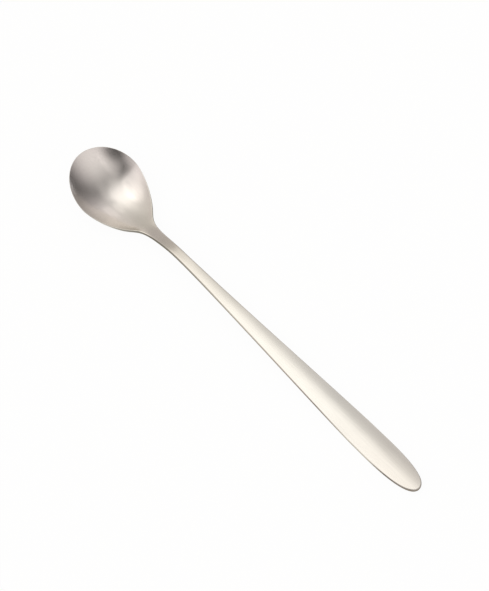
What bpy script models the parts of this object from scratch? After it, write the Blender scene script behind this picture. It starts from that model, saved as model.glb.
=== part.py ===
# Pickle spoon, pressed from one piece of satin stainless steel.
# It lies along X with the bowl at -X, rests on the plane z = 0 and is the same on both sides of y = 0.
# Sizes are in metres. Stations along the spoon are measured from the tip of the bowl.

import math

import bmesh
import bpy
import numpy as np

# Plan view
LENGTH = 0.195
BOWL_WIDTH = 0.0301
BOWL_NOSE = 0.0176          # bowl tip to the widest place
BOWL_HEEL = 0.0189          # widest place to the shoulder, where the edge turns from round to hollow
SHOULDER_WIDTH = 0.0133
SHOULDER_ANGLE = math.radians(42)
THROAT_LENGTH = 0.0219      # shoulder to the narrowest place of the neck
NECK_WIDTH = 0.00404
HANDLE_WIDTH = 0.0118
HANDLE_END = 0.0308         # widest place of the handle to its end

# Reach of the outline's tangents, as shares of the span or half width that they lie along
TIP_REACH = 0.49
NOSE_REACH = 0.57
HEEL_REACH = 0.23
SHOULDER_REACH_FRONT = 0.36
SHOULDER_REACH_BACK = 0.26
NECK_REACH_FRONT = 0.77
NECK_REACH_BACK = 0.24
HANDLE_REACH_FRONT = 0.12
HANDLE_REACH_BACK = 0.23
END_REACH = 1.2

# Side view: heights of the edge's middle above the table
TIP_HEIGHT = 0.0130
THROAT_HEIGHT = 0.0042
CREST_HEIGHT = 0.0070
THROAT_SETBACK = 0.0040     # shoulder to the lowest place of the edge
DISH_RUNOUT = 0.0105        # shoulder to where the hollow of the bowl ends in the neck
CREST_BEND = 0.015          # crest to the start of the straight slope
SETTLE_RUN = 0.030          # length over which the slope levels out onto the table
FOOT_RUN = 0.015            # level stretch under the end of the handle
REST_FLAT = 0.0001          # depth of the flats where the spoon rests

# Thickness: the bowl's at its rim and middle, the neck's and the handle's along their sides
RIM_THICKNESS = 0.0007
BOWL_THICKNESS = 0.0010
NECK_EDGE_THICKNESS = 0.0025
END_EDGE_THICKNESS = 0.0018
CROWN_RADIUS = 0.0175       # of the rounded top of the neck and handle

# Edge rounding: width of the rounded zone and squareness of its curve, where 2 is a half circle
NECK_EDGE_ROUND = 0.0008
END_EDGE_ROUND = 0.0005
RIM_SQUARENESS = 2.0
NECK_SQUARENESS = 3.2
END_SQUARENESS = 3.0

# Mesh: steps along each span of the outline, across half the width and round the edge
SPAN_STEPS = (13, 10, 10, 16, 14)
CROSS_STEPS = 7
EDGE_STEPS = 6
CROSS_CROWDING = 0.75       # below 1, the rows lie closer together towards the edge
FAN_SHARE = 0.6             # how far the rays at both ends draw together, as a share of the span
OUTLINE_SAMPLES = 200
SLOPE_STEP = 0.00002

STEEL_COLOUR = (0.66, 0.63, 0.597, 1.0)
STEEL_ROUGHNESS = 0.24

SHOULDER_AT = BOWL_NOSE + BOWL_HEEL
NECK_AT = SHOULDER_AT + THROAT_LENGTH
BROAD_AT = LENGTH - HANDLE_END


def clear_scene():
    for item in list(bpy.data.objects):
        bpy.data.objects.remove(item, do_unlink=True)


def ease(x, start, stop):
    t = np.clip((x - start) / (stop - start), 0.0, 1.0)
    return t * t * (3.0 - 2.0 * t)


def along(x, bowl, neck, end):
    toward_neck = (neck - bowl) * ease(x, BOWL_NOSE, NECK_AT)
    toward_end = (end - neck) * ease(x, NECK_AT, BROAD_AT)
    return bowl + toward_neck + toward_end


def through_knots(x, stations, heights, slopes):
    stations, heights, slopes = (np.array(row) for row in (stations, heights, slopes))
    i = np.clip(np.searchsorted(stations, x, side="right") - 1, 0, len(stations) - 2)
    run = stations[i + 1] - stations[i]
    t = (np.clip(x, stations[0], stations[-1]) - stations[i]) / run
    rise = ease(t, 0.0, 1.0)
    start_slope = (t ** 3 - 2.0 * t ** 2 + t) * run * slopes[i]
    end_slope = (t ** 3 - t ** 2) * run * slopes[i + 1]
    return heights[i] * (1.0 - rise) + heights[i + 1] * rise + start_slope + end_slope


def plan_spans():
    tip = np.array((0.0, 0.0))
    widest = np.array((BOWL_NOSE, BOWL_WIDTH / 2))
    shoulder = np.array((SHOULDER_AT, SHOULDER_WIDTH / 2))
    neck = np.array((NECK_AT, NECK_WIDTH / 2))
    broad = np.array((BROAD_AT, HANDLE_WIDTH / 2))
    end = np.array((LENGTH, 0.0))
    ahead = np.array((1.0, 0.0))
    side = np.array((0.0, 1.0))
    inward = np.array((math.cos(SHOULDER_ANGLE), -math.sin(SHOULDER_ANGLE)))
    heel_chord = np.linalg.norm(shoulder - widest)
    throat_chord = np.linalg.norm(neck - shoulder)
    handle_run = BROAD_AT - NECK_AT
    return (
        (tip, tip + side * TIP_REACH * widest[1], widest - ahead * NOSE_REACH * BOWL_NOSE, widest),
        (widest, widest + ahead * HEEL_REACH * BOWL_HEEL,
         shoulder - inward * SHOULDER_REACH_FRONT * heel_chord, shoulder),
        (shoulder, shoulder + inward * SHOULDER_REACH_BACK * throat_chord,
         neck - ahead * NECK_REACH_FRONT * THROAT_LENGTH, neck),
        (neck, neck + ahead * NECK_REACH_BACK * handle_run,
         broad - ahead * HANDLE_REACH_FRONT * handle_run, broad),
        (broad, broad + ahead * HANDLE_REACH_BACK * HANDLE_END, end + side * END_REACH * broad[1], end),
    )


def sample_outline(steps):
    points = []
    normals = []
    for number, ((a, b, c, d), count) in enumerate(zip(plan_spans(), steps)):
        t = np.linspace(0.0, 1.0, count + 1)[min(number, 1):, None]
        s = 1.0 - t
        points.append(s ** 3 * a + 3 * s ** 2 * t * b + 3 * s * t ** 2 * c + t ** 3 * d)
        tangent = s ** 2 * (b - a) + 2 * s * t * (c - b) + t ** 2 * (d - c)
        tangent /= np.linalg.norm(tangent, axis=1)[:, None]
        normals.append(np.column_stack((-tangent[:, 1], tangent[:, 0])))
    return np.vstack(points), np.vstack(normals)


OUTLINE = sample_outline((OUTLINE_SAMPLES,) * len(SPAN_STEPS))[0]


def half_width(x):
    return np.maximum(np.interp(x, OUTLINE[:, 0], OUTLINE[:, 1]), SLOPE_STEP)


def across(x, y):
    # Past its widest place the handle keeps its round top, so that its end is cut square.
    return 1.0 - np.clip(y / half_width(np.minimum(x, BROAD_AT)), -1.0, 1.0) ** 2


def edge_thickness(x):
    return along(x, RIM_THICKNESS, NECK_EDGE_THICKNESS, END_EDGE_THICKNESS)


def crown(x):
    in_bowl = BOWL_THICKNESS - RIM_THICKNESS
    on_handle = half_width(np.clip(x, NECK_AT, BROAD_AT)) ** 2 / (2 * CROWN_RADIUS)
    return in_bowl + (on_handle - in_bowl) * ease(x, BOWL_NOSE, NECK_AT)


def edge_height(x):
    foot_at = LENGTH - FOOT_RUN
    settle_at = foot_at - SETTLE_RUN
    slope_at = NECK_AT + CREST_BEND
    foot_height = END_EDGE_THICKNESS / 2 - REST_FLAT
    fall = (CREST_HEIGHT - foot_height) / (CREST_BEND / 2 + settle_at - slope_at + SETTLE_RUN / 2)
    stations = (0.0, SHOULDER_AT + THROAT_SETBACK, NECK_AT, slope_at, settle_at, foot_at, LENGTH)
    heights = (TIP_HEIGHT, THROAT_HEIGHT, CREST_HEIGHT, CREST_HEIGHT - fall * CREST_BEND / 2,
               foot_height + fall * SETTLE_RUN / 2, foot_height, foot_height)
    slopes = (0.0, 0.0, 0.0, -fall, -fall, 0.0, 0.0)
    return through_knots(x, stations, heights, slopes)


def dish_shape(x):
    nose = 1.0 - np.clip(1.0 - x / BOWL_NOSE, 0.0, 1.0) ** 2
    return nose * (1.0 - ease(x, BOWL_NOSE, SHOULDER_AT + DISH_RUNOUT))


def dish_depth():
    # The bowl is as deep as it can be with its underside just on the table.
    x = np.linspace(BOWL_NOSE / 2, SHOULDER_AT, OUTLINE_SAMPLES)
    return np.min((edge_height(x) - edge_thickness(x) / 2 + REST_FLAT) / dish_shape(x))


DISH_DEPTH = dish_depth()


def middle_height(x, y):
    return edge_height(x) + (crown(x) / 2 - DISH_DEPTH * dish_shape(x)) * across(x, y)


def middle_normal(x, y):
    slope_x = middle_height(x + SLOPE_STEP, y) - middle_height(x - SLOPE_STEP, y)
    slope_y = middle_height(x, y + SLOPE_STEP) - middle_height(x, y - SLOPE_STEP)
    normal = np.stack((-slope_x, -slope_y, np.full_like(slope_x, 2 * SLOPE_STEP)), axis=-1)
    return normal / np.linalg.norm(normal, axis=-1, keepdims=True)


def half_sections():
    # Each section runs along the top from the centre line to the edge, round it and back underneath.
    outline, outward = sample_outline(SPAN_STEPS)
    x = outline[:, 0]
    rounding = along(x, RIM_THICKNESS / 2, NECK_EDGE_ROUND, END_EDGE_ROUND)
    squareness = along(x, RIM_SQUARENESS, NECK_SQUARENESS, END_SQUARENESS)
    inset = outline - outward * rounding[:, None]
    nose_pull = FAN_SHARE * np.clip(BOWL_NOSE - x, 0.0, None)
    end_pull = FAN_SHARE * np.clip(x - BROAD_AT, 0.0, None)
    spine = x + nose_pull - end_pull
    share = np.linspace(0.0, 1.0, CROSS_STEPS + 1) ** CROSS_CROWDING
    grid_x = spine[:, None] + share * (inset[:, 0] - spine)[:, None]
    grid_y = share * inset[:, 1][:, None]
    middle = np.stack((grid_x, grid_y, middle_height(grid_x, grid_y)), axis=-1)
    normal = middle_normal(grid_x, grid_y)
    half = (edge_thickness(grid_x) + crown(grid_x) * across(grid_x, grid_y))[..., None] / 2
    top = middle + normal * half
    under = middle - normal * half

    # The edge bulges away from the last row, square to the surface there.
    lift = normal[:, -1]
    flat = np.column_stack((outward, np.zeros(len(x))))
    away = flat - lift * np.sum(flat * lift, axis=1)[:, None]
    away /= np.linalg.norm(away, axis=1)[:, None]
    angle = np.linspace(math.pi / 2, -math.pi / 2, EDGE_STEPS + 1)[1:-1]
    power = 2.0 / squareness[:, None]
    out = np.abs(np.cos(angle)) ** power * rounding[:, None]
    up = np.sign(np.sin(angle)) * np.abs(np.sin(angle)) ** power * half[:, -1]
    edge = middle[:, -1][:, None] + out[..., None] * away[:, None] + up[..., None] * lift[:, None]

    sections = np.concatenate((top, edge, under[:, ::-1]), axis=1)
    sections[..., 0] -= LENGTH / 2
    sections[..., 2] = np.maximum(sections[..., 2], 0.0)
    sections[[0, -1], :, 1] = 0.0
    return sections


def steel():
    material = bpy.data.materials.new("satin_steel")
    material.use_nodes = True
    shader = material.node_tree.nodes["Principled BSDF"]
    shader.inputs["Base Color"].default_value = STEEL_COLOUR
    shader.inputs["Metallic"].default_value = 1.0
    shader.inputs["Roughness"].default_value = STEEL_ROUGHNESS
    return material


def spoon():
    sections = half_sections()
    shape = bmesh.new()
    rows = [[shape.verts.new(point) for point in section] for section in sections]
    for front, back in zip(rows, rows[1:]):
        for i in range(len(front) - 1):
            shape.faces.new((front[i], back[i], back[i + 1], front[i + 1]))
    mesh = bpy.data.meshes.new("spoon")
    shape.to_mesh(mesh)
    shape.free()
    mesh.materials.append(steel())
    mesh.shade_smooth()
    item = bpy.data.objects.new("spoon", mesh)
    bpy.context.scene.collection.objects.link(item)
    mirror = item.modifiers.new("both_sides", "MIRROR")
    mirror.use_axis = (False, True, False)
    mirror.use_clip = True
    mirror.merge_threshold = 0.00001


clear_scene()
spoon()
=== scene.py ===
import math

import bpy
import numpy as np
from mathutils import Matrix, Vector


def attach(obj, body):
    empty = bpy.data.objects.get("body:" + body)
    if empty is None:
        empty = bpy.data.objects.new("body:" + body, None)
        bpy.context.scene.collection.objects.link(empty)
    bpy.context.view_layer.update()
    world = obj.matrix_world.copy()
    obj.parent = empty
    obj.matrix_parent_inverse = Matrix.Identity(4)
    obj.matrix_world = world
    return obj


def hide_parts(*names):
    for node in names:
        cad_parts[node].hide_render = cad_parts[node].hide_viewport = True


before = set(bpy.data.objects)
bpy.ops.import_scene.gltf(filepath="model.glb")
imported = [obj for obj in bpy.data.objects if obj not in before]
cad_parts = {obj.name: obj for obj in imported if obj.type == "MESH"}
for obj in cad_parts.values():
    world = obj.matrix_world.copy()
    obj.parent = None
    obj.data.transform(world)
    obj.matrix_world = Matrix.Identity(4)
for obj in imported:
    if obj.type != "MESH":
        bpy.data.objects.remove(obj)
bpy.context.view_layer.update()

# The spoon lies along X, bowl at -X, and is the same on both sides of y = 0.
# Sizes are in metres, and stations run from the tip of the bowl.
spoonPlan = {
    "length": 0.195,
    "bowlWidth": 0.0301,
    "bowlNose": 0.0176,         # tip to the widest place
    "bowlHeel": 0.0189,         # widest place to the shoulder
    "shoulderWidth": 0.0133,
    "shoulderAngle": math.radians(42),
    "throatLength": 0.0219,     # shoulder to the narrowest place
    "neckWidth": 0.00404,
    "handleWidth": 0.0118,
    "handleEnd": 0.0308,        # widest place of the handle to its end
    # pulls of the outline's tangents, as shares of the spans they lie along
    "tipPull": 0.49,
    "nosePull": 0.57,
    "heelPull": 0.23,
    "shoulderPulls": (0.36, 0.26),
    "neckPulls": (0.77, 0.24),
    "handlePulls": (0.12, 0.23),
    "endPull": 1.2,
    # side view, heights of the middle of the edge
    "tipHeight": 0.01255,
    "throatHeight": 0.0042,
    "crestHeight": 0.0075,
    "throatSetback": 0.0040,
    "dishRunout": 0.0105,
    "crestBend": 0.015,
    "settleRun": 0.030,
    "footRun": 0.015,
    "restFlat": 0.0001,
    "crownRadius": 0.0175,      # of the rounded top of the neck and handle
    "bowlCrown": 0.0003,        # how much thicker the middle of the bowl is than its rim
    # bowl, neck and end of the handle in turn
    "edgeThickness": (0.0005, 0.0025, 0.0018),
    "edgeRound": (0.0001, 0.0008, 0.0005),
    "edgeSquareness": (2.0, 3.2, 3.0),
    # fineness of the mesh
    "spanSteps": (56, 44, 44, 72, 60),
    "crossSteps": 26,
    "edgeSteps": 12,
    "edgeFaceSteps": 2,         # of them at the top, finished like the face
    "crowding": 0.75,           # below 1 the steps crowd towards the edge
    "lastShare": 0.99,          # of the half width, where the last step towards the edge begins
    "fanShare": 0.6,
    "readSteps": 400,           # for sizes that are read off a curve
    "leastHalfWidth": 0.00002,
    "slopeStep": 0.00002,
    "mergeGap": 0.000002,       # between the two sides
}
shoulderAt = spoonPlan["bowlNose"] + spoonPlan["bowlHeel"]
neckAt = shoulderAt + spoonPlan["throatLength"]
broadAt = spoonPlan["length"] - spoonPlan["handleEnd"]


def ease(x, start, stop):
    t = np.clip((x - start) / (stop - start), 0.0, 1.0)
    return t * t * (3.0 - 2.0 * t)


def alongSpoon(x, values):
    bowl, neck, end = values
    toNeck = (neck - bowl) * ease(x, spoonPlan["bowlNose"], neckAt)
    return bowl + toNeck + (end - neck) * ease(x, neckAt, broadAt)


def planSpans():
    p = spoonPlan
    tip = np.array((0.0, 0.0))
    widest = np.array((p["bowlNose"], p["bowlWidth"] / 2))
    shoulder = np.array((shoulderAt, p["shoulderWidth"] / 2))
    neck = np.array((neckAt, p["neckWidth"] / 2))
    broad = np.array((broadAt, p["handleWidth"] / 2))
    end = np.array((p["length"], 0.0))
    ahead = np.array((1.0, 0.0))
    side = np.array((0.0, 1.0))
    inward = np.array((math.cos(p["shoulderAngle"]), -math.sin(p["shoulderAngle"])))
    heelChord = np.linalg.norm(shoulder - widest)
    throatChord = np.linalg.norm(neck - shoulder)
    handleRun = broadAt - neckAt
    return (
        (tip, tip + side * p["tipPull"] * widest[1],
         widest - ahead * p["nosePull"] * p["bowlNose"], widest),
        (widest, widest + ahead * p["heelPull"] * p["bowlHeel"],
         shoulder - inward * p["shoulderPulls"][0] * heelChord, shoulder),
        (shoulder, shoulder + inward * p["shoulderPulls"][1] * throatChord,
         neck - ahead * p["neckPulls"][0] * p["throatLength"], neck),
        (neck, neck + ahead * p["neckPulls"][1] * handleRun,
         broad - ahead * p["handlePulls"][0] * handleRun, broad),
        (broad, broad + ahead * p["handlePulls"][1] * p["handleEnd"],
         end + side * p["endPull"] * broad[1], end),
    )


def sampleOutline(steps):
    points = []
    normals = []
    for number, ((a, b, c, d), count) in enumerate(zip(planSpans(), steps)):
        t = np.linspace(0.0, 1.0, count + 1)[min(number, 1):, None]
        s = 1.0 - t
        points.append(s ** 3 * a + 3 * s ** 2 * t * b + 3 * s * t ** 2 * c + t ** 3 * d)
        tangent = s ** 2 * (b - a) + 2 * s * t * (c - b) + t ** 2 * (d - c)
        tangent /= np.linalg.norm(tangent, axis=1)[:, None]
        normals.append(np.column_stack((-tangent[:, 1], tangent[:, 0])))
    return np.vstack(points), np.vstack(normals)


fineOutline = sampleOutline((spoonPlan["readSteps"],) * len(spoonPlan["spanSteps"]))[0]


def halfWidth(x):
    width = np.interp(x, fineOutline[:, 0], fineOutline[:, 1])
    return np.maximum(width, spoonPlan["leastHalfWidth"])


def across(x, y):
    # past its widest place the handle keeps its round top, so its end is cut square
    return 1.0 - np.clip(y / halfWidth(np.minimum(x, broadAt)), -1.0, 1.0) ** 2


def edgeThickness(x):
    return alongSpoon(x, spoonPlan["edgeThickness"])


def noseRise(x):
    return 1.0 - np.clip(1.0 - x / spoonPlan["bowlNose"], 0.0, 1.0) ** 2


def crown(x):
    toNeck = ease(x, spoonPlan["bowlNose"], neckAt)
    onHandle = halfWidth(np.clip(x, neckAt, broadAt)) ** 2 / (2 * spoonPlan["crownRadius"])
    return spoonPlan["bowlCrown"] * noseRise(x) * (1.0 - toNeck) + onHandle * toNeck


def edgeHeight(x):
    p = spoonPlan
    footAt = p["length"] - p["footRun"]
    settleAt = footAt - p["settleRun"]
    slopeAt = neckAt + p["crestBend"]
    foot = p["edgeThickness"][2] / 2 - p["restFlat"]
    fallRun = p["crestBend"] / 2 + settleAt - slopeAt + p["settleRun"] / 2
    fall = (p["crestHeight"] - foot) / fallRun
    knots = np.array((
        (0.0, p["tipHeight"], 0.0),
        (shoulderAt + p["throatSetback"], p["throatHeight"], 0.0),
        (neckAt, p["crestHeight"], 0.0),
        (slopeAt, p["crestHeight"] - fall * p["crestBend"] / 2, -fall),
        (settleAt, foot + fall * p["settleRun"] / 2, -fall),
        (footAt, foot, 0.0),
        (p["length"], foot, 0.0),
    ))
    i = np.clip(np.searchsorted(knots[:, 0], x, side="right") - 1, 0, len(knots) - 2)
    run = knots[i + 1, 0] - knots[i, 0]
    t = (np.clip(x, 0.0, p["length"]) - knots[i, 0]) / run
    rise = ease(t, 0.0, 1.0)
    lead = (t ** 3 - 2.0 * t ** 2 + t) * run * knots[i, 2]
    trail = (t ** 3 - t ** 2) * run * knots[i + 1, 2]
    return knots[i, 1] * (1.0 - rise) + knots[i + 1, 1] * rise + lead + trail


def dishShape(x):
    runout = ease(x, spoonPlan["bowlNose"], shoulderAt + spoonPlan["dishRunout"])
    return noseRise(x) * (1.0 - runout)


def findDishDepth():
    # deep enough for the underside of the bowl to touch the table
    x = np.linspace(spoonPlan["bowlNose"] / 2, shoulderAt, spoonPlan["readSteps"])
    room = edgeHeight(x) - edgeThickness(x) / 2 + spoonPlan["restFlat"]
    return np.min(room / dishShape(x))


dishDepth = findDishDepth()


def middleHeight(x, y):
    return edgeHeight(x) + (crown(x) / 2 - dishDepth * dishShape(x)) * across(x, y)


def halfThickness(x, y):
    # measured upright, so it grows where the steel is steep
    step = spoonPlan["slopeStep"]
    slopeX = (middleHeight(x + step, y) - middleHeight(x - step, y)) / (2 * step)
    slopeY = (middleHeight(x, y + step) - middleHeight(x, y - step)) / (2 * step)
    thickness = edgeThickness(x) + crown(x) * across(x, y)
    return thickness / 2 * np.sqrt(1.0 + slopeX ** 2 + slopeY ** 2)


def halfSections():
    # each section runs along the top to the edge, round it and back underneath
    p = spoonPlan
    outline, outward = sampleOutline(p["spanSteps"])
    x = outline[:, 0]
    rounding = alongSpoon(x, p["edgeRound"])
    squareness = alongSpoon(x, p["edgeSquareness"])
    inset = outline - outward * rounding[:, None]
    # the sections fan out round the tip and round the end of the handle
    fan = np.clip(p["bowlNose"] - x, 0.0, None) - np.clip(x - broadAt, 0.0, None)
    spine = x + p["fanShare"] * fan
    steps = np.linspace(0.0, 1.0, p["crossSteps"]) ** p["crowding"]
    share = np.append(steps * p["lastShare"], 1.0)
    gridX = spine[:, None] + share * (inset[:, 0] - spine)[:, None]
    gridY = share * inset[:, 1][:, None]
    middle = middleHeight(gridX, gridY)
    half = halfThickness(gridX, gridY)
    top = np.stack((gridX, gridY, middle + half), axis=-1)
    under = np.stack((gridX, gridY, middle - half), axis=-1)
    angle = np.linspace(math.pi / 2, -math.pi / 2, p["edgeSteps"] + 1)[1:-1]
    power = 2.0 / squareness[:, None]
    out = np.abs(np.cos(angle)) ** power * rounding[:, None]
    up = np.sign(np.sin(angle)) * np.abs(np.sin(angle)) ** power * half[:, -1:]
    edge = np.stack((inset[:, :1] + out * outward[:, :1], inset[:, 1:] + out * outward[:, 1:],
                     middle[:, -1:] + up), axis=-1)
    sections = np.concatenate((top, edge, under[:, ::-1]), axis=1)
    sections[..., 0] -= p["length"] / 2
    sections[..., 2] = np.maximum(sections[..., 2], 0.0)
    sections[[0, -1], :, 1] = 0.0
    return sections


# Steel

grainPlan = {
    "lineLength": 0.020,        # of one brushed line
    "lineWidth": 0.0004,
    "lineDetail": 3.0,
    "lineDepth": 0.00002,
    "cloudSize": 0.012,         # of the faint handling marks
    "cloudDetail": 2.0,
    "middle": 0.5,              # of the noise
}


def addNode(tree, kind, **settings):
    node = tree.nodes.new(kind)
    for name, value in settings.items():
        setattr(node, name, value)
    return node


def addMath(tree, operation, *terms, **settings):
    # each term is a number or the output of another node
    node = addNode(tree, "ShaderNodeMath", operation=operation, **settings)
    for socket, term in zip(node.inputs, terms):
        if isinstance(term, bpy.types.NodeSocket):
            tree.links.new(term, socket)
        else:
            socket.default_value = term
    return node.outputs[0]


def addNoise(tree, place, scale, detail):
    noise = addNode(tree, "ShaderNodeTexNoise")
    noise.inputs["Scale"].default_value = scale
    noise.inputs["Detail"].default_value = detail
    tree.links.new(place, noise.inputs["Vector"])
    return noise.outputs["Fac"]


def makeGroup(name, inputNames, outputNames):
    group = bpy.data.node_groups.new(name, "ShaderNodeTree")
    for way, names in (("INPUT", inputNames), ("OUTPUT", outputNames)):
        for socketName in names:
            group.interface.new_socket(socketName, in_out=way, socket_type="NodeSocketFloat")
    given = addNode(group, "NodeGroupInput").outputs
    result = addNode(group, "NodeGroupOutput").inputs
    return group, given, result


def makeBrushedGrain():
    p = grainPlan
    group, given, result = makeGroup(
        "brushedGrain", ("Lines", "Clouds"), ("Tone", "Roughness", "Height"))
    link = group.links.new
    place = addNode(group, "ShaderNodeTexCoord").outputs["Object"]
    stretch = addNode(group, "ShaderNodeMapping")
    fine = 1.0 / p["lineWidth"]
    stretch.inputs["Scale"].default_value = (1.0 / p["lineLength"], fine, fine)
    link(place, stretch.inputs["Vector"])
    lines = addNoise(group, stretch.outputs["Vector"], 1.0, p["lineDetail"])
    clouds = addNoise(group, place, 1.0 / p["cloudSize"], p["cloudDetail"])
    lineShare, cloudShare = (
        addMath(group, "MULTIPLY", addMath(group, "SUBTRACT", noise, p["middle"]), given[name])
        for noise, name in ((lines, "Lines"), (clouds, "Clouds")))
    link(addMath(group, "ADD", lineShare, cloudShare), result["Tone"])
    link(addMath(group, "SUBTRACT", cloudShare, lineShare), result["Roughness"])
    link(lines, result["Height"])
    return group


def makePlaceAlong():
    # how far along the spoon a place is, as a share of its length, with x = 0 at the middle
    group, given, result = makeGroup("placeAlong", ("Length",), ("Share",))
    place = addNode(group, "ShaderNodeTexCoord").outputs["Object"]
    parts = addNode(group, "ShaderNodeSeparateXYZ")
    group.links.new(place, parts.inputs["Vector"])
    fromMiddle = addMath(group, "DIVIDE", parts.outputs["X"], given["Length"])
    group.links.new(addMath(group, "ADD", fromMiddle, 0.5), result["Share"])
    return group


def steelAndPaintedLightAlong(tree, share, stops):
    # a colour for each place along the spoon: the steel's own colour with painted light and
    # shade
    ramp = addNode(tree, "ShaderNodeValToRGB")
    ramp.color_ramp.elements.remove(ramp.color_ramp.elements[1])
    for number, (at, colour) in enumerate(stops):
        stop = ramp.color_ramp.elements.new(at) if number else ramp.color_ramp.elements[0]
        stop.position = at
        stop.color = (*colour, 1.0)
    tree.links.new(share, ramp.inputs["Fac"])
    return ramp.outputs["Color"]


def makeSteel(name, plan, grain, placeAlong):
    material = bpy.data.materials.new(name)
    material.use_nodes = True
    tree = material.node_tree
    link = tree.links.new
    shader = tree.nodes["Principled BSDF"]
    shader.inputs["Metallic"].default_value = 1.0
    shader.inputs["Specular Tint"].default_value = (*plan["glancing"], 1.0)
    brushed = addNode(tree, "ShaderNodeGroup", node_tree=grain)
    brushed.inputs["Lines"].default_value = plan["lines"]
    brushed.inputs["Clouds"].default_value = plan["clouds"]
    along = addNode(tree, "ShaderNodeGroup", node_tree=placeAlong)
    along.inputs["Length"].default_value = spoonPlan["length"]
    # the base colour carries the painted light and shade along the spoon, with the random grain
    # on top
    tone = addNode(tree, "ShaderNodeVectorMath", operation="SCALE")
    link(steelAndPaintedLightAlong(tree, along.outputs["Share"], plan["steelAndPaintedLight"]), tone.inputs[0])
    swing = addMath(tree, "MULTIPLY_ADD", brushed.outputs["Tone"], plan["toneSwing"], 1.0)
    link(swing, tone.inputs["Scale"])
    link(tone.outputs["Vector"], shader.inputs["Base Color"])
    rough = addMath(tree, "MULTIPLY_ADD", brushed.outputs["Roughness"],
                    plan["roughnessSwing"], plan["roughness"], use_clamp=True)
    link(rough, shader.inputs["Roughness"])
    bump = addNode(tree, "ShaderNodeBump")
    bump.inputs["Strength"].default_value = plan["bump"]
    bump.inputs["Distance"].default_value = grainPlan["lineDepth"]
    link(brushed.outputs["Height"], bump.inputs["Height"])
    link(bump.outputs["Normal"], shader.inputs["Normal"])
    return material


facePlan = {
    # colours at shares of the length, from the tip of the bowl: the steel's own colour with
    # light and shade painted in along the length; the dark band at the neck (0.28) and the
    # darker end of the handle are painted shade
    "steelAndPaintedLight": (
        (0.10, (0.679, 0.644, 0.625)),
        (0.20, (0.636, 0.600, 0.538)),
        (0.23, (0.583, 0.535, 0.495)),
        (0.28, (0.483, 0.447, 0.403)),
        (0.33, (0.606, 0.574, 0.529)),
        (0.50, (0.669, 0.645, 0.608)),
        (0.75, (0.657, 0.637, 0.609)),
        (0.98, (0.607, 0.575, 0.542)),
    ),
    "glancing": (1.0, 1.0, 1.0),        # colour of a glancing reflection
    "toneSwing": 0.12,
    "roughness": 0.20,
    "roughnessSwing": 0.12,
    "lines": 1.0,
    "clouds": 1.0,
    "bump": 0.15,
}
edgePlan = {
    # colours of the cut edge, from the bowl to the end of the handle, with light and shade
    # painted in: the dark stretches (0.18 to 0.30, 0.73, 0.93 on) are painted shade for the
    # shadowed table that the edge mirrors, and the light stretch at 0.82 to 0.88 is a painted
    # highlight
    "steelAndPaintedLight": (
        (0.155, (0.640, 0.611, 0.550)),
        (0.18, (0.340, 0.325, 0.292)),
        (0.235, (0.220, 0.210, 0.189)),
        (0.30, (0.340, 0.325, 0.292)),
        (0.48, (0.640, 0.611, 0.550)),
        (0.65, (0.530, 0.482, 0.445)),
        (0.73, (0.360, 0.328, 0.302)),
        (0.82, (0.740, 0.707, 0.636)),
        (0.88, (0.780, 0.745, 0.671)),
        (0.93, (0.220, 0.200, 0.185)),
        (0.965, (0.340, 0.309, 0.286)),
        (1.00, (0.380, 0.346, 0.319)),
    ),
    # a brown glancing colour, which darkens the edge's reflections into the same painted shade
    "glancing": (0.40, 0.35, 0.26),
    "toneSwing": 0.2,
    "roughness": 0.25,
    "roughnessSwing": 0.06,
    "lines": 0.6,
    "clouds": 0.4,
    "bump": 0.05,
}


def makeSpoon(faceSteel, edgeSteel):
    sections = halfSections()
    rows, columns = sections.shape[:2]
    number = np.arange(rows * columns).reshape(rows, columns)
    corners = (number[:-1, :-1], number[1:, :-1], number[1:, 1:], number[:-1, 1:])
    quads = np.stack(corners, axis=-1)
    mesh = bpy.data.meshes.new("spoonSteel")
    mesh.from_pydata(sections.reshape(-1, 3).tolist(), [], quads.reshape(-1, 4).tolist())
    mesh.materials.append(faceSteel)
    mesh.materials.append(edgeSteel)
    column = np.tile(np.arange(columns - 1), rows - 1)
    first = spoonPlan["crossSteps"] + spoonPlan["edgeFaceSteps"]
    last = spoonPlan["crossSteps"] + spoonPlan["edgeSteps"]
    onEdge = (column >= first) & (column < last)
    mesh.polygons.foreach_set("material_index", onEdge.astype(np.int32))
    mesh.shade_smooth()
    piece = bpy.data.objects.new("spoonSteel", mesh)
    bpy.context.scene.collection.objects.link(piece)
    mirror = piece.modifiers.new("bothSides", "MIRROR")
    mirror.use_axis = (False, True, False)
    mirror.use_clip = True
    mirror.merge_threshold = spoonPlan["mergeGap"]
    return piece


shared = (makeBrushedGrain(), makePlaceAlong())
satinSteel = makeSteel("satinSteel", facePlan, *shared)
edgeSteel = makeSteel("edgeSteel", edgePlan, *shared)
spoon = makeSpoon(satinSteel, edgeSteel)
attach(spoon, "root")
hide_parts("spoon")
print("spoon made:", len(spoon.data.polygons) * 2, "faces")

# Camera, high above the table with the handle towards the lower right

cameraPlan = {
    "turn": math.radians(45.38),       # of the spoon against the picture
    "height": math.radians(70.0),
    "distance": 0.9,
    "focus": 2230.6,                    # in pixels of a picture 489 by 591
    "pictureHeight": 591,
    "sensor": 24.0,
    "nearest": 0.01,
    "target": Vector((0.0, 0.0, 0.004)),
    "aimRight": -0.00045,               # from the target to the middle of the picture
    "aimUp": 0.01019,
}
rightWay = Vector((math.cos(cameraPlan["turn"]), math.sin(cameraPlan["turn"]), 0.0))
awayWay = Vector((-math.sin(cameraPlan["turn"]), math.cos(cameraPlan["turn"]), 0.0))
upWay = Vector((0.0, 0.0, 1.0))


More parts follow.
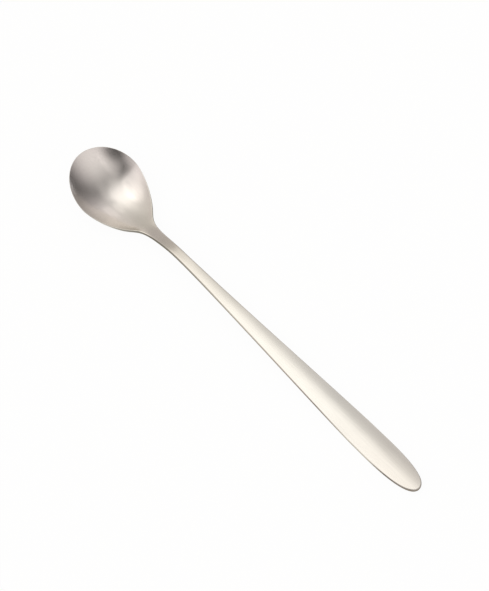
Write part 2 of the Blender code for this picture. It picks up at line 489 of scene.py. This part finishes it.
def makeCamera():
    p = cameraPlan
    sight = awayWay * -math.cos(p["height"]) + upWay * math.sin(p["height"])
    pictureUp = awayWay * math.sin(p["height"]) + upWay * math.cos(p["height"])
    data = bpy.data.cameras.new("camera")
    data.sensor_fit = "VERTICAL"
    data.sensor_height = p["sensor"]
    data.lens = p["focus"] / p["pictureHeight"] * p["sensor"]
    data.clip_start = p["nearest"]
    camera = bpy.data.objects.new("camera", data)
    camera.location = p["target"] + sight * p["distance"]
    aim = p["target"] + rightWay * p["aimRight"] + pictureUp * p["aimUp"]
    camera.rotation_euler = (aim - camera.location).to_track_quat("-Z", "Y").to_euler()
    bpy.context.scene.collection.objects.link(camera)
    bpy.context.scene.camera = camera


makeCamera()
print("camera set")

# Floor and light

floorPlan = {
    "size": 4.0,
    "colour": (0.95, 0.95, 0.95),
    "glow": 0.94,               # share of plain white in what the camera and the steel see
}
# Round lights with soft edges. Each has its degrees from overhead to the right and away from the
# viewer, the radius of its even middle, the width of its soft edge and its strength.
lightPlan = {
    "low": (1.0, 0.934, 0.918),         # colour near the horizon
    "high": (1.0, 0.983, 0.933),        # colour overhead
    "grey": 0.03,               # of the dim room around the lights
    "lights": (
        (-35.8, 52.6, 46.9, 60.8, 0.87),
        (-11.9, -5.7, 0.5, 41.5, 0.76),
        (63.8, -72.1, 9.3, 69.9, 1.37),
        (-40.9, -21.0, 16.8, 12.6, 0.63),
        (0.9, -57.6, 16.0, 4.6, 0.26),
        (23.6, 55.7, 11.1, 2.8, 0.21),
        (-76.8, -89.4, 38.2, 23.7, 0.85),
        (25.9, 4.3, 0.8, 22.9, 0.23),
        (4.6, 34.7, 11.1, 2.0, 0.25),
        (20.3, -80.1, 8.9, 13.6, 0.87),
        # dark cards
        (95.0, -79.9, 26.4, 47.9, -1.05),
        (-44.4, 60.8, 20.5, 15.7, -0.19),
        (5.3, -93.5, 24.7, 15.5, -0.97),
        (-28.5, -18.4, 12.7, 2.0, -0.37),
    ),
}


def wayTo(right, away):
    lean = math.radians(math.hypot(right, away))
    spin = math.atan2(away, right)
    level = rightWay * math.cos(spin) + awayWay * math.sin(spin)
    return level * math.sin(lean) + upWay * math.cos(lean)


def makeFloor():
    half = floorPlan["size"] / 2
    mesh = bpy.data.meshes.new("floor")
    corners = [(-half, -half, 0.0), (half, -half, 0.0), (half, half, 0.0), (-half, half, 0.0)]
    mesh.from_pydata(corners, [], [(0, 1, 2, 3)])
    material = bpy.data.materials.new("paleFloor")
    material.use_nodes = True
    tree = material.node_tree
    tree.nodes.clear()
    link = tree.links.new
    output = addNode(tree, "ShaderNodeOutputMaterial")
    paper = addNode(tree, "ShaderNodeBsdfDiffuse")
    paper.inputs["Color"].default_value = (*floorPlan["colour"], 1.0)
    white = addNode(tree, "ShaderNodeEmission")
    path = addNode(tree, "ShaderNodeLightPath").outputs
    seen = addMath(tree, "ADD", path["Is Camera Ray"], path["Is Glossy Ray"])
    seen = addMath(tree, "ADD", seen, path["Is Transmission Ray"], use_clamp=True)
    share = addMath(tree, "MULTIPLY", seen, floorPlan["glow"])
    blend = addNode(tree, "ShaderNodeMixShader")
    link(share, blend.inputs["Fac"])
    link(paper.outputs[0], blend.inputs[1])
    link(white.outputs[0], blend.inputs[2])
    link(blend.outputs[0], output.inputs["Surface"])
    mesh.materials.append(material)
    floor = bpy.data.objects.new("floor", mesh)
    bpy.context.scene.collection.objects.link(floor)


def makeWorld():
    world = bpy.data.worlds.new("softStudio")
    world.use_nodes = True
    tree = world.node_tree
    background = tree.nodes["Background"]
    link = tree.links.new
    place = addNode(tree, "ShaderNodeTexCoord").outputs["Generated"]
    parts = addNode(tree, "ShaderNodeSeparateXYZ")
    link(place, parts.inputs["Vector"])
    tint = addNode(tree, "ShaderNodeMix", data_type="RGBA")
    tint.inputs["A"].default_value = (*lightPlan["low"], 1.0)
    tint.inputs["B"].default_value = (*lightPlan["high"], 1.0)
    link(parts.outputs["Z"], tint.inputs["Factor"])
    link(tint.outputs["Result"], background.inputs["Color"])
    total = lightPlan["grey"]
    for right, away, radius, softness, strength in lightPlan["lights"]:
        facing = addNode(tree, "ShaderNodeVectorMath", operation="DOT_PRODUCT")
        facing.inputs[1].default_value = wayTo(right, away)
        link(place, facing.inputs[0])
        glow = addNode(tree, "ShaderNodeMapRange", interpolation_type="SMOOTHSTEP")
        glow.inputs["From Min"].default_value = math.cos(math.radians(radius + softness))
        glow.inputs["From Max"].default_value = math.cos(math.radians(radius))
        glow.inputs["To Max"].default_value = strength
        link(facing.outputs["Value"], glow.inputs["Value"])
        total = addMath(tree, "ADD", glow.outputs["Result"], total)
    brightness = addMath(tree, "MAXIMUM", total, lightPlan["grey"])
    link(brightness, background.inputs["Strength"])
    bpy.context.scene.world = world


makeFloor()
makeWorld()
bpy.context.scene.view_settings.view_transform = "Standard"
print("floor and light set")
